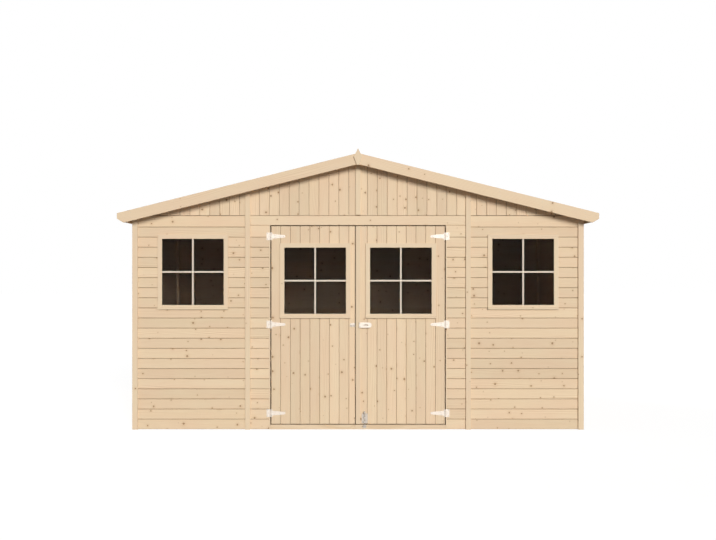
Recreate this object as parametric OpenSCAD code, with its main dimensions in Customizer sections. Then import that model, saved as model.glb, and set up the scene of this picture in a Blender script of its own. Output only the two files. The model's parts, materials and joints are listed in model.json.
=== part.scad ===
// Wooden garden shed with a low gable roof, double doors and four barred windows.
// Millimetres, +Z up, the front faces -Y, the ridge runs along Y, ground level is z = 0.

/* [Body] */
// Width over the side cladding
body_w = 3928; // [3300:2:4800]
// Depth over the front and back cladding
body_d = 2980; // [2400:2:3600]
// Height of the wall panels, from the ground to the gable line
wall_h = 1877; // [1790:1:2300]
// Thickness of the cladding boards
board_t = 16; // [12:1:20]
// Depth of the wall studs, which sit behind the cladding
stud_d = 28; // [22:1:44]
// Face width of the wall studs and rails
stud_w = 44; // [34:1:60]

/* [Trim] */
// Width of the battens that cover the panel joints
batten_w = 44; // [34:1:60]
// Thickness of the battens and corner trims
batten_t = 16; // [12:1:22]
// Gap under the batten in the middle of a gable
gable_batten_gap = 7; // [0:1:20]
// Width of the narrow wall panels beside the doors
narrow_panel_w = 187; // [120:1:300]
// Width of each corner trim on both of its faces
corner_w = 48; // [40:1:70]

/* [Floor] */
// Height of the finished floor and of the door sill
floor_h = 41; // [36:1:60]
// Width of the floor bearers
bearer_w = 70; // [45:1:95]
// Number of floor bearers
bearer_count = 7; // [4:1:9]

/* [Roof] */
// Pitch of both roof slopes, in degrees
roof_pitch = 14; // [8:0.5:25]
// Overhang of the roof beyond the side cladding
eave_overhang = 126; // [90:1:200]
// Overhang of the roof boards beyond the front and back cladding
verge_overhang = 100; // [60:1:250]
// Height from the gable line to the roof boards at the side cladding
wall_head = 22; // [10:1:60]
// Thickness of the roof boards
deck_t = 16; // [12:1:22]
// Thickness of the roofing felt
felt_t = 3; // [2:0.5:5]
// Length of the felt that is turned down over the eaves
felt_drip = 22; // [12:1:30]
// Height of the bargeboards, square to the slope
barge_h = 94; // [70:1:140]
// Thickness of the bargeboards and eave boards
barge_t = 20; // [16:1:28]
// How far the bargeboards stand above the felt
barge_lip = 5; // [0:1:15]
// Width of the cut lower corner of each bargeboard
barge_cut_w = 57; // [20:1:90]
// Height of the cut lower corner of each bargeboard
barge_cut_h = 34; // [10:1:50]
// Height of the boards under the eaves
eave_board_h = 62; // [40:1:90]
// Distance from the roof edge to the boards under the eaves
eave_board_inset = 44; // [20:1:90]
// Height of the purlins
purlin_h = 58; // [44:1:95]
// Distance from the ridge to the side purlins
purlin_x = 1000; // [700:1:1300]
// Height of the ridge beam
ridge_h = 95; // [70:1:145]

/* [Finial] */
// Width of the kite-shaped finial
finial_w = 76; // [50:1:120]
// Height of its point above the bargeboards
finial_rise = 42; // [20:1:90]
// Depth of its lower point below the top of the bargeboards
finial_drop = 104; // [80:1:160]
// Depth of its widest place below the top of the bargeboards
finial_shoulder = 30; // [10:1:45]
// Width of its blunt lower end
finial_tip = 22; // [6:1:40]
// Thickness of the finial
finial_t = 16; // [10:1:22]

/* [Doors] */
// Width of the door opening
door_w = 1542; // [1300:2:1700]
// Height of the plain board over the door opening
header_h = 84; // [60:1:140]
// Gap between the leaves and the jambs, header and sill
door_gap = 8; // [6:0.5:12]
// Gap between the two leaves
meeting_gap = 6; // [6:0.5:10]
// Visible width of the jamb linings
lining_w = 10; // [8:1:20]
// Width of the strip on the meeting edge of the right leaf
strip_w = 40; // [30:1:60]
// Thickness of that strip
strip_t = 16; // [10:1:20]
// Height of the ledges behind the leaves
ledge_h = 90; // [70:1:120]
// Thickness of the ledges behind the leaves
ledge_t = 22; // [16:1:26]
// Inset of the ledges from the edges of a leaf
ledge_inset = 20; // [15:1:40]

/* [Windows] */
// Height of the glass that shows
glass_h = 580; // [400:2:700]
// From the panel joint to the frame of a wall window
wall_window_left = 171; // [60:1:260]
// From the frame of a wall window to the side cladding
wall_window_right = 205; // [100:1:260]
// From the gable line down to the frame of a wall window
wall_window_drop = 164; // [60:1:400]
// From the hinge edge of a leaf to the frame of its window
door_window_hinge_side = 77; // [50:1:120]
// From the middle of the doors to the frame of a door window
door_window_meeting_side = 66; // [40:1:100]
// From the top of a leaf to the frame of its window
door_window_drop = 149; // [110:1:300]
// Face width of the window frames
frame_w = 40; // [30:1:60]
// Thickness of the window frames in front of the cladding
frame_t = 12; // [8:1:18]
// Height of the sill on the foot of a window frame
sill_h = 20; // [12:1:36]
// Reach of a sill beyond each side of its frame
sill_lap = 0; // [0:1:20]
// Reach of a sill in front of its frame
sill_out = 6; // [2:1:12]
// Width of the frame behind the glass rebate
liner_w = 12; // [8:1:18]
// Width of the rebate that holds the glass
rebate = 8; // [5:1:10]
// Thickness of the glass
glass_t = 4; // [3:0.5:6]

/* [Hinges] */
// From the foot of a leaf up to its lowest hinge
hinge_foot = 94; // [80:1:200]
// From the window of a leaf down to its middle hinge
hinge_mid = 54; // [48:1:120]
// From the top of a leaf down to its highest hinge
hinge_head = 89; // [60:1:100]
// Height of the hinge plates
plate_h = 67; // [50:1:80]
// Width of the hinge plates
plate_w = 36; // [25:1:45]
// Length of the tapered straps, from the pin to the tip
strap_l = 130; // [90:1:180]
// Height of a strap at its root
strap_root_h = 42; // [30:1:50]
// Height of a strap at its tip
strap_tip_h = 22; // [14:1:28]
// Thickness of the sheet metal of hinges, hasp and bolt
metal_t = 2.5; // [2:0.5:4]
// Outer radius of the hinge knuckles
knuckle_r = 5; // [4:0.5:7]
// Radius of the hinge pins
pin_r = 2.5; // [2:0.5:3]

/* [Hasp and bolt] */
// From the middle hinge down to the middle of the hasp
hasp_drop = 5; // [0:1:20]
// From the meeting edge of the right leaf to the pin of the hasp
hasp_pin_in = 32; // [28:1:36]
// Width of the fixed leaf of the hasp
hasp_leaf_w = 68; // [50:1:76]
// Height of the hasp flap and leaf
hasp_h = 46; // [34:1:60]
// Length of the flap, from its pin to its rounded end
flap_l = 108; // [90:1:140]
// From the pin of the hasp to the middle of its slot
slot_x = 56; // [52:1:62]
// Height of the slot
slot_h = 12; // [10:1:16]
// Room for a padlock in the staple, in front of the closed flap
padlock_gap = 16; // [12:1:20]
// Width of the staple's eye
staple_w = 34; // [26:1:40]
// Wire radius of the staple
staple_r = 3; // [2:0.5:4]
// Distance from the middle of the front to the bolt
bolt_x = 58; // [50:1:90]
// Radius of the bolt's rod
rod_r = 5; // [4:0.5:7]
// Length of the knob on the rod
knob_l = 14; // [10:1:20]
// Travel of the bolt
bolt_travel = 30; // [20:1:34]
// Height of the bolt's back plate
bolt_plate_h = 86; // [70:1:110]
// Width of the bolt's back plate
bolt_plate_w = 52; // [40:1:60]
// Height of each of the bolt's two guides
guide_h = 14; // [10:1:18]
// Height of the keeper's plate
keeper_h = 30; // [20:1:36]
// Thickness of the keeper's tab
keeper_t = 6; // [4:1:8]
// From the floor down to the underside of the keeper's tab
keeper_drop = 12; // [9:1:16]
// Metal beside the rod in the keeper
keeper_wall = 10; // [6:1:14]
// Clearance of the rod in the keeper
keeper_gap = 1; // [0.5:0.5:3]

/* [Hidden] */
$fn = 32;
seam = 0.5;              // gap between pieces that share a node
run_gap = 0.4;           // running clearance round pins and rods
glass_gap = 0.3;         // clearance round the glass in its rebate
roof_seat = 0.3;         // clearance of the roof boards over what carries them
floor_board_t = 16;
slope = tan(roof_pitch);
plumb = 1 / cos(roof_pitch);   // turns a thickness square to the slope into a height
front_y = -body_d / 2;         // front face of the front cladding
back_y = body_d / 2;
side_x = body_w / 2;
stud_y = front_y + board_t;              // front face of the front studs
stud_in_y = stud_y + stud_d;             // inner face of the front studs
stud_x = side_x - board_t;               // outer face of the side studs
stud_in_x = stud_x - stud_d;             // inner face of the side studs
under_z = wall_h + wall_head + side_x * slope;   // top of what carries the roof, at the ridge
deck_z = under_z + roof_seat;                    // underside of the roof boards at the ridge
deck_top_z = deck_z + deck_t * plumb;
felt_top_z = deck_top_z + felt_t * plumb;
barge_top_z = felt_top_z + barge_lip * plumb;
roof_x = side_x + eave_overhang;         // roof edge, which is the end of the bargeboards
felt_x = roof_x - 2;
deck_x = felt_x - felt_t;
verge_y = body_d / 2 + verge_overhang;   // inner face of the bargeboards
barge_y = verge_y + barge_t;
side_batten_y = body_d / 6;              // the side walls are three panels long
opening_x = door_w / 2;
opening_z = wall_h - header_h;
strip_in_x = opening_x + lining_w;       // edge of the cladding beside the doors
panel_joint_x = strip_in_x + narrow_panel_w;
leaf_x = opening_x - door_gap;
leaf_z0 = floor_h + door_gap;
leaf_z1 = opening_z - door_gap;
right_edge_x = -strip_w / 2;             // meeting edge of the right leaf
left_edge_x = right_edge_x - meeting_gap;
pin_x = (opening_x + leaf_x) / 2;
pin_y = front_y - knuckle_r - 0.2;
knuckle_h = plate_h / 3;
// A window is [middle x, middle z, width of the glass].
wall_window = [(panel_joint_x + wall_window_left + side_x - wall_window_right) / 2,
    wall_h - wall_window_drop - frame_w - glass_h / 2,
    side_x - wall_window_right - panel_joint_x - wall_window_left - 2 * frame_w];
door_window = [(leaf_x - door_window_hinge_side + door_window_meeting_side) / 2,
    leaf_z1 - door_window_drop - frame_w - glass_h / 2,
    leaf_x - door_window_hinge_side - door_window_meeting_side - 2 * frame_w];
// Heights of the three hinges and ledges of a leaf.
hinge_z = [leaf_z0 + hinge_foot, door_window[1] - glass_h / 2 - frame_w - hinge_mid, leaf_z1 - hinge_head];
hasp_z = hinge_z[1] - hasp_drop;
strip_y = front_y - strip_t;             // front face of the strip on the right leaf
hasp_pin_x = right_edge_x + hasp_pin_in;
hasp_pin_y = strip_y - knuckle_r - 0.2;
hasp_leaf_x = hasp_pin_x + hasp_leaf_w;  // far edge of the fixed leaf of the hasp
staple_x = hasp_pin_x - slot_x;
staple_out = strip_t + 3 * metal_t + padlock_gap; // reach of the staple in front of the leaf
rod_y = front_y - metal_t - rod_r - 2;
bolt_z = leaf_z0 + 5;                    // foot of the bolt's back plate
rod_z = bolt_z - 2;                      // lower end of the raised rod
rod_l = bolt_plate_h + 22;               // its knob stays over the upper guide when it is shot
keeper_z = floor_h - keeper_drop;

// ---- shared shapes ----

// A box from its lowest to its highest corner.
module block(lo, hi) {
    translate(lo) cube(hi - lo);
}

// Extrudes an outline drawn in X and Z from y0 to y1.
module along_y(y0, y1) {
    translate([0, y1, 0]) rotate([90, 0, 0]) linear_extrude(y1 - y0) children();
}

// Draws its children on the left and, mirrored, on the right.
module both_sides() {
    children();
    mirror([1, 0, 0]) children();
}

// Draws its children at the front and, mirrored, at the back.
module both_ends() {
    children();
    mirror([0, 1, 0]) children();
}

// Height of the underside of the roof boards at a distance from the ridge.
function under(x) = under_z - slope * abs(x);

// The same window on the other side of the middle.
function left_of(window) = [-window[0], window[1], window[2]];

// Half the width and height of the hole that takes a window's frame.
function hole_half(window) = [window[2] / 2 + rebate + liner_w + seam, glass_h / 2 + rebate + liner_w + seam];

// Cuts the hole for a window through the front cladding.
module window_hole(window) {
    half = hole_half(window);
    block([window[0] - half[0], front_y - 1, window[1] - half[1]],
          [window[0] + half[0], stud_y + 1, window[1] + half[1]]);
}

// An upright board on one side of the ridge whose top follows the underside of the roof.
module to_roof(x0, x1, z0, y0, y1) {
    along_y(y0, y1) polygon([[x0, z0], [x1, z0], [x1, under(x1)], [x0, under(x0)]]);
}

// ---- floor ----

module floor_bearers() {
    color("#b99a6b")
    for (i = [0 : bearer_count - 1]) {
        x = -stud_in_x + seam + bearer_w / 2
            + i * (2 * (stud_in_x - seam) - bearer_w) / (bearer_count - 1);
        block([x - bearer_w / 2, stud_in_y + seam, 0],
              [x + bearer_w / 2, -stud_in_y - seam, floor_h - floor_board_t]);
    }
}

module floor_boards() {
    color("#d8bd92")
    block([-stud_in_x + seam, stud_in_y + seam, floor_h - floor_board_t],
          [stud_in_x - seam, -stud_in_y - seam, floor_h]);
}

// Two boards end to end, parted under the meeting edge of the doors.
module door_sill() {
    parting = left_edge_x;
    color("#e1c5a2") {
        block([-opening_x + seam, front_y, 0], [parting - seam, stud_in_y, floor_h]);
        block([parting + seam, front_y, 0], [opening_x - seam, stud_in_y, floor_h]);
    }
}

// ---- cladding ----

// Outer panel of the front, with its window opening.
module front_wall() {
    color("#e5ccad")
    difference() {
        block([panel_joint_x, front_y, 0], [side_x, stud_y, wall_h]);
        window_hole(wall_window);
    }
}

module front_wall_left() {
    mirror([1, 0, 0]) front_wall();
}

module front_wall_right() {
    front_wall();
}

// Narrow panels between the door opening and the panel joints.
module front_strips() {
    color("#e5ccad")
    both_sides()
        block([strip_in_x, front_y, 0], [panel_joint_x, stud_y, opening_z]);
}

module front_header() {
    color("#e9d0b1")
    block([-panel_joint_x, front_y, opening_z], [panel_joint_x, stud_y, wall_h]);
}

// Two triangular panels that meet under the middle batten.
module front_gable() {
    color("#e5ccad")
    both_sides() to_roof(seam / 2, side_x, wall_h, front_y, stud_y);
}

module back_gable() {
    mirror([0, 1, 0]) front_gable();
}

module back_wall() {
    color("#e5ccad")
    block([-side_x, -stud_y, 0], [side_x, back_y, wall_h]);
}

module right_wall() {
    color("#e5ccad")
    to_roof(stud_x, side_x, 0, stud_y, -stud_y);
}

module left_wall() {
    mirror([1, 0, 0]) right_wall();
}

// ---- wall frames ----

// A wall stud or rail of the front, from x0, z0 to x1, z1.
module rail(x0, z0, x1, z1) {
    block([x0, stud_y, z0], [x1, stud_in_y, z1]);
}

// The sloping rail behind a gable, and the stud under the ridge.
module gable_rails() {
    depth = stud_w * plumb;
    foot_x = (under_z - depth - seam - wall_h) / slope;
    along_y(stud_y, stud_in_y) polygon([[seam, under(seam)], [foot_x, under(foot_x)],
        [foot_x, under(foot_x) - depth], [seam, under(seam) - depth]]);
}

module king_stud() {
    rail(-stud_w / 2, wall_h + seam, stud_w / 2, under(stud_w / 2) - stud_w * plumb - seam);
}

module front_frame() {
    joint0 = panel_joint_x - stud_w / 2;
    joint1 = panel_joint_x + stud_w / 2;
    corner = stud_x - stud_w;
    half = hole_half(wall_window);
    win_x0 = wall_window[0] - half[0];
    win_x1 = wall_window[0] + half[0];
    win_z0 = wall_window[1] - half[1];
    win_z1 = wall_window[1] + half[1];
    color("#dcc094") {
        both_sides() {
            rail(corner, 0, stud_x, wall_h);
            rail(joint0, 0, joint1, wall_h);
            rail(joint1 + seam, 0, corner - seam, stud_w);
            rail(joint1 + seam, wall_h - stud_w, corner - seam, wall_h);
            rail(win_x0 - stud_w, stud_w + seam, win_x0, wall_h - stud_w - seam);
            rail(win_x1, stud_w + seam, win_x1 + stud_w, wall_h - stud_w - seam);
            rail(win_x0 + seam, win_z0 - stud_w, win_x1 - seam, win_z0);
            rail(win_x0 + seam, win_z1, win_x1 - seam, win_z1 + stud_w);
            rail(strip_in_x + stud_w + seam, 0, joint0 - seam, stud_w);
            gable_rails();
        }
        rail(-joint0 + seam, opening_z + seam, joint0 - seam, wall_h);
        king_stud();
    }
}

module back_frame() {
    joint0 = panel_joint_x - stud_w / 2;
    joint1 = panel_joint_x + stud_w / 2;
    corner = stud_x - stud_w;
    color("#dcc094")
    mirror([0, 1, 0]) {
        both_sides() {
            rail(corner, 0, stud_x, wall_h);
            rail(joint0, 0, joint1, wall_h);
            for (z = [0, wall_h / 2 - stud_w / 2, wall_h - stud_w]) {
                rail(joint1 + seam, z, corner - seam, z + stud_w);
                rail(stud_w / 2 + seam, z, joint0 - seam, z + stud_w);
            }
            gable_rails();
        }
        rail(-stud_w / 2, 0, stud_w / 2, wall_h);
        king_stud();
    }
}

module side_frames() {
    stud_ys = [stud_in_y + seam, -side_batten_y - stud_w / 2, side_batten_y - stud_w / 2,
        -stud_in_y - seam - stud_w];
    color("#dcc094")
    both_sides() {
        for (y = stud_ys)
            block([stud_in_x, y, 0], [stud_x, y + stud_w, wall_h]);
        for (i = [0 : len(stud_ys) - 2])
            for (z = [0, wall_h / 2 - stud_w / 2, wall_h - stud_w])
                block([stud_in_x, stud_ys[i] + stud_w + seam, z],
                      [stud_x, stud_ys[i + 1] - seam, z + stud_w]);
    }
}

// A stud behind the cladding with a lining that shows beside the leaf.
module door_jambs() {
    color("#e9d2b4")
    both_sides() {
        block([opening_x, front_y, 0], [strip_in_x, stud_in_y, opening_z]);
        block([strip_in_x - 1, stud_y, 0], [strip_in_x + stud_w, stud_in_y, opening_z]);
    }
}

// ---- battens and corner trims ----

module corner_trims() {
    out_x = side_x + batten_t;
    color("#ebd0b2")
    both_sides() both_ends() {
        to_roof(out_x - corner_w, out_x, 0, front_y - batten_t, front_y);
        to_roof(side_x, out_x, 0, front_y + seam, front_y - batten_t + corner_w);
    }
}

// The batten that covers the joint in the middle of a gable.
module gable_batten() {
    both_sides() to_roof(0, batten_w / 2, wall_h + gable_batten_gap, front_y - batten_t, front_y);
}

module joint_battens() {
    both_sides()
        to_roof(panel_joint_x - batten_w / 2, panel_joint_x + batten_w / 2, 0,
                front_y - batten_t, front_y);
}

module front_battens() {
    color("#ebd0b2") {
        joint_battens();
        gable_batten();
    }
}

module side_and_back_battens() {
    color("#ebd0b2") {
        both_sides()
            for (y = [-side_batten_y, side_batten_y])
                to_roof(side_x, side_x + batten_t, 0, y - batten_w / 2, y + batten_w / 2);
        mirror([0, 1, 0]) {
            joint_battens();
            gable_batten();
        }
    }
}

// ---- windows ----

// A frame with a rebate for the glass and a sill on its foot. The face laps over the boards,
// and the liner goes through them to the given depth.
module window_frame(window, depth) {
    half_w = window[2] / 2;
    half_h = glass_h / 2;
    liner = rebate + liner_w;
    color("#e9d5ba")
    translate([window[0], front_y, window[1]])
    difference() {
        union() {
            block([-half_w - frame_w, -frame_t, -half_h - frame_w], [half_w + frame_w, 0, half_h + frame_w]);
            block([-half_w - frame_w - sill_lap, -frame_t - sill_out, -half_h - frame_w],
                  [half_w + frame_w + sill_lap, 0, -half_h - frame_w + sill_h]);
            block([-half_w - liner, -1, -half_h - liner], [half_w + liner, depth, half_h + liner]);
        }
        block([-half_w, -frame_t - 1, -half_h], [half_w, depth + 1, half_h]);
        block([-half_w - rebate, 0, -half_h - rebate], [half_w + rebate, depth + 1, half_h + rebate]);
    }
}

module window_glass(window) {
    edge = rebate - glass_gap;
    color("#2b2622")
    translate([window[0], front_y, window[1]])
        block([-window[2] / 2 - edge, 0, -glass_h / 2 - edge],
              [window[2] / 2 + edge, glass_t, glass_h / 2 + edge]);
}

module wall_window_frames() {
    both_sides() window_frame(wall_window, board_t + stud_d);
}

module wall_window_glass() {
    both_sides() window_glass(wall_window);
}

// ---- roof ----

// Ridge beam and one purlin half way down each slope, between the gable rails.
module roof_purlins() {
    y = stud_in_y + 0.3;
    color("#dcc094") {
        along_y(y, -y) polygon([[-stud_w / 2, under(stud_w / 2)], [0, under_z],
            [stud_w / 2, under(stud_w / 2)], [stud_w / 2, under_z - ridge_h],
            [-stud_w / 2, under_z - ridge_h]]);
        both_sides()
            to_roof(purlin_x - stud_w / 2, purlin_x + stud_w / 2, under(purlin_x) - purlin_h, y, -y);
    }
}

module roof_deck_right() {
    fall = slope * deck_x;
    color("#d8bd92")
    along_y(-verge_y, verge_y) polygon([[0, deck_z], [deck_x, deck_z - fall],
        [deck_x, deck_top_z - fall], [0, deck_top_z]]);
}

module roof_deck_left() {
    mirror([1, 0, 0]) roof_deck_right();
}

// Felt over both slopes, turned down over the ends of the roof boards.
module roof_felt() {
    deck_fall = slope * deck_x;
    fall = slope * felt_x;
    half = [[deck_x, deck_top_z - deck_fall], [deck_x, felt_top_z - deck_fall - felt_drip],
        [felt_x, felt_top_z - fall - felt_drip], [felt_x, felt_top_z - fall]];
    color("#4a4a48")
    along_y(-verge_y, verge_y) polygon(concat([[0, deck_top_z]], half, [[0, felt_top_z]],
        [for (i = [3 : -1 : 0]) [-half[i][0], half[i][1]]]));
}

module bargeboards() {
    foot = barge_top_z - roof_x * slope;
    drop = barge_h * plumb;
    cut_x = roof_x - barge_cut_w;
    cut_z = barge_top_z - drop - cut_x * slope;
    color("#e6cbab")
    both_sides() both_ends()
        along_y(-barge_y, -verge_y) polygon([[seam / 2, barge_top_z - slope * seam / 2], [roof_x, foot],
            [roof_x, cut_z + barge_cut_h], [cut_x, cut_z],
            [seam / 2, barge_top_z - drop - slope * seam / 2]]);
}

module eave_boards() {
    x1 = roof_x - eave_board_inset;
    color("#e6cbab")
    both_sides()
        to_roof(x1 - barge_t, x1, under(x1) - eave_board_h, -verge_y, verge_y);
}

// Kite-shaped board over the apex of the bargeboards, with hollow upper sides.
module finials() {
    steps = 10;
    hollow = 1.2;    // power of the curve from the shoulder to the point
    side = [for (i = [0 : steps]) let (t = i / steps)
        [finial_w / 2 * pow(1 - t, hollow), -finial_shoulder + t * (finial_rise + finial_shoulder)]];
    tip = finial_tip / 2;
    outline = concat([[-tip, -finial_drop], [tip, -finial_drop]], side,
        [for (i = [steps - 1 : -1 : 0]) [-side[i][0], side[i][1]]]);
    color("#ebd0b2")
    both_ends()
        along_y(-barge_y - finial_t, -barge_y) translate([0, barge_top_z]) polygon(outline);
}

// ---- door leaves ----

// Boards of a leaf between two edges, with the opening of its window.
module leaf_boards(x0, x1, window) {
    color("#e5ccad")
    difference() {
        block([x0, front_y, leaf_z0], [x1, stud_y, leaf_z1]);
        window_hole(window);
    }
}

// Three ledges and a brace that rises from the hinge side to the meeting side.
module leaf_ledges(hinge_x, meeting_x) {
    side = sign(meeting_x - hinge_x);
    x0 = hinge_x + side * ledge_inset;
    x1 = meeting_x - side * ledge_inset;
    low = hinge_z[0] + ledge_h / 2 + seam;
    high = hinge_z[1] - ledge_h / 2 - seam;
    color("#dcc094") {
        for (z = hinge_z)
            block([min(x0, x1), stud_y, z - ledge_h / 2], [max(x0, x1), stud_y + ledge_t, z + ledge_h / 2]);
        along_y(stud_y, stud_y + ledge_t) polygon([[x0, low], [x0 + side * ledge_h, low],
            [x1, high], [x1 - side * ledge_h, high]]);
    }
}

// A T-hinge strap: knuckle, tall tab beside it and a tapered strap with a round tip.
module hinge_strap() {
    tab_w = 14;
    color("#d9d5ce")
    translate([pin_x, 0, 0]) {
        difference() {
            union() {
                translate([0, pin_y, -knuckle_h / 2 + run_gap])
                    cylinder(r = knuckle_r, h = knuckle_h - 2 * run_gap);
                block([-tab_w, front_y - metal_t, -knuckle_h / 2 + run_gap],
                      [0, front_y, knuckle_h / 2 - run_gap]);
            }
            translate([0, pin_y, -plate_h]) cylinder(r = pin_r + run_gap, h = 2 * plate_h);
        }
        block([-tab_w, front_y - metal_t, -plate_h / 2], [-knuckle_r - run_gap, front_y, plate_h / 2]);
        along_y(front_y - metal_t, front_y) {
            polygon([[-tab_w, -strap_root_h / 2], [-tab_w, strap_root_h / 2],
                [-strap_l + strap_tip_h / 2, strap_tip_h / 2],
                [-strap_l + strap_tip_h / 2, -strap_tip_h / 2]]);
            translate([-strap_l + strap_tip_h / 2, 0]) circle(r = strap_tip_h / 2);
        }
    }
}

// The fixed plate of a T-hinge: plate, two knuckles and the pin.
module hinge_plate() {
    color("#d9d5ce")
    translate([pin_x, 0, 0]) {
        for (s = [-1, 1]) {
            z0 = s > 0 ? knuckle_h / 2 : -plate_h / 2;
            translate([0, pin_y, z0]) cylinder(r = knuckle_r, h = knuckle_h);
            block([0, front_y - metal_t, z0], [knuckle_r + 1, front_y, z0 + knuckle_h]);
        }
        translate([0, pin_y, -plate_h / 2]) cylinder(r = pin_r, h = plate_h);
        block([knuckle_r + run_gap, front_y - metal_t, -plate_h / 2], [plate_w, front_y, plate_h / 2]);
    }
}

module hinge_plates() {
    both_sides() for (z = hinge_z) translate([0, 0, z]) hinge_plate();
}

module right_door_hinge_straps() {
    for (z = hinge_z) translate([0, 0, z]) hinge_strap();
}

module left_door_hinge_straps() {
    mirror([1, 0, 0]) right_door_hinge_straps();
}

module left_door_boards() {
    leaf_boards(-leaf_x, left_edge_x, left_of(door_window));
}

module left_door_ledges() {
    leaf_ledges(-leaf_x, left_edge_x);
}

module left_door_window_frame() {
    window_frame(left_of(door_window), board_t + ledge_t);
}

module left_door_glass() {
    window_glass(left_of(door_window));
}

module right_door_boards() {
    leaf_boards(right_edge_x, leaf_x, door_window);
}

module right_door_ledges() {
    leaf_ledges(leaf_x, right_edge_x);
}

module right_door_window_frame() {
    window_frame(door_window, board_t + ledge_t);
}

module right_door_glass() {
    window_glass(door_window);
}

// The strip on the meeting edge, flush with the edge of its leaf.
module door_cover_strip() {
    color("#ebd0b2")
    block([right_edge_x, strip_y, leaf_z0], [-right_edge_x, front_y, leaf_z1]);
}

// ---- hasp ----

// Staple on the left leaf: a base plate and a wire loop that takes a padlock from above.
module hasp_staple() {
    color("#c9c6c0")
    translate([staple_x, front_y, hasp_z]) {
        block([-staple_w / 2 - 10, -metal_t, -hasp_h / 3],
              [left_edge_x - staple_x - 1, 0, hasp_h / 3]);
        for (s = [-1, 1])
            translate([s * (staple_w / 2 - staple_r), 0, 0]) rotate([90, 0, 0])
                cylinder(r = staple_r, h = staple_out - staple_r);
        translate([-staple_w / 2 + staple_r, -staple_out + staple_r, 0]) rotate([0, 90, 0])
            cylinder(r = staple_r, h = staple_w - 2 * staple_r);
        for (s = [-1, 1])
            translate([s * (staple_w / 2 - staple_r), -staple_out + staple_r, 0]) sphere(r = staple_r);
    }
}

// Cranked leaf of the hasp: it is screwed to the boards and steps up over the strip.
module hasp_leaf() {
    step_x = -right_edge_x + 0.5;
    color("#d4d1cb") {
        block([step_x, front_y - metal_t, hasp_z - hasp_h / 2], [hasp_leaf_x, front_y, hasp_z + hasp_h / 2]);
        block([step_x, strip_y - metal_t, hasp_z - hasp_h / 2],
              [step_x + metal_t, front_y, hasp_z + hasp_h / 2]);
        for (s = [-1, 1]) {
            z0 = s > 0 ? hasp_z + hasp_h / 6 : hasp_z - hasp_h / 2;
            block([hasp_pin_x, strip_y - metal_t, z0], [step_x + metal_t, strip_y, z0 + hasp_h / 3]);
            translate([hasp_pin_x, hasp_pin_y, z0]) cylinder(r = knuckle_r, h = hasp_h / 3);
        }
        translate([hasp_pin_x, hasp_pin_y, hasp_z - hasp_h / 2]) cylinder(r = pin_r, h = hasp_h);
    }
}

// Flap folded back over its leaf. Its pin lies half way between the two places of the flap.
module hasp_flap() {
    far = 2 * hasp_pin_y - strip_y + seam;      // front face of the folded flap
    knuckle = hasp_h / 3 - 2 * run_gap;
    round_r = hasp_h / 2;
    color("#d9d5ce")
    difference() {
        union() {
            along_y(far, far + metal_t) translate([hasp_pin_x, hasp_z]) {
                polygon([[knuckle_r + run_gap, -hasp_h / 2], [flap_l - round_r, -hasp_h / 2],
                    [flap_l - round_r, hasp_h / 2], [knuckle_r + run_gap, hasp_h / 2]]);
                translate([flap_l - round_r, 0]) circle(r = round_r);
                translate([0, -knuckle / 2]) square([knuckle_r + run_gap + 1, knuckle]);
            }
            translate([hasp_pin_x, hasp_pin_y, hasp_z - knuckle / 2]) cylinder(r = knuckle_r, h = knuckle);
        }
        translate([hasp_pin_x, hasp_pin_y, hasp_z - hasp_h]) cylinder(r = pin_r + run_gap, h = 2 * hasp_h);
        along_y(far - 1, far + metal_t + 1) translate([hasp_pin_x + slot_x, hasp_z]) {
            half = staple_w / 2 + 4 - slot_h / 2;
            square([2 * half, slot_h], center = true);
            for (s = [-1, 1]) translate([s * half, 0]) circle(r = slot_h / 2);
        }
    }
}

// ---- bolt ----

// Back plate with two bored guides for the rod.
module bolt_housing() {
    guide_w = 2 * rod_r + 10;
    color("#b9b6b0")
    difference() {
        union() {
            block([bolt_x - bolt_plate_w / 2, front_y - metal_t, bolt_z],
                  [bolt_x + bolt_plate_w / 2, front_y, bolt_z + bolt_plate_h]);
            for (z = [bolt_z + 6, bolt_z + bolt_plate_h / 2])
                block([bolt_x - guide_w / 2, rod_y - rod_r - 4, z],
                      [bolt_x + guide_w / 2, front_y - 1, z + guide_h]);
        }
        translate([bolt_x, rod_y, 0]) cylinder(r = rod_r + run_gap, h = bolt_z + 2 * bolt_plate_h);
    }
}

// Round rod in its raised place, with a knob that stands out between the guides.
module bolt_rod() {
    knob_z = rod_z + rod_l - 6;
    color("#a9a6a1") {
        translate([bolt_x, rod_y, rod_z]) cylinder(r = rod_r, h = rod_l);
        translate([bolt_x, rod_y, knob_z]) rotate([90, 0, 0]) cylinder(r = 4, h = knob_l + rod_r);
        translate([bolt_x, rod_y - knob_l - rod_r, knob_z]) rotate([90, 0, 0]) cylinder(r = 7, h = 5);
    }
}

// Bracket on the sill. Its tab has a square hole that receives the rod.
module bolt_keeper() {
    hole = rod_r + keeper_gap;
    half = rod_r + keeper_wall;
    color("#a9a6a1")
    difference() {
        union() {
            block([bolt_x - half, front_y - metal_t, floor_h - keeper_h], [bolt_x + half, front_y, floor_h]);
            block([bolt_x - half, rod_y - half, keeper_z], [bolt_x + half, front_y - 1, keeper_z + keeper_t]);
        }
        block([bolt_x - hole, rod_y - hole, keeper_z - 1],
              [bolt_x + hole, rod_y + hole, keeper_z + keeper_t + 1]);
    }
}

// ---- nodes ----

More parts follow.
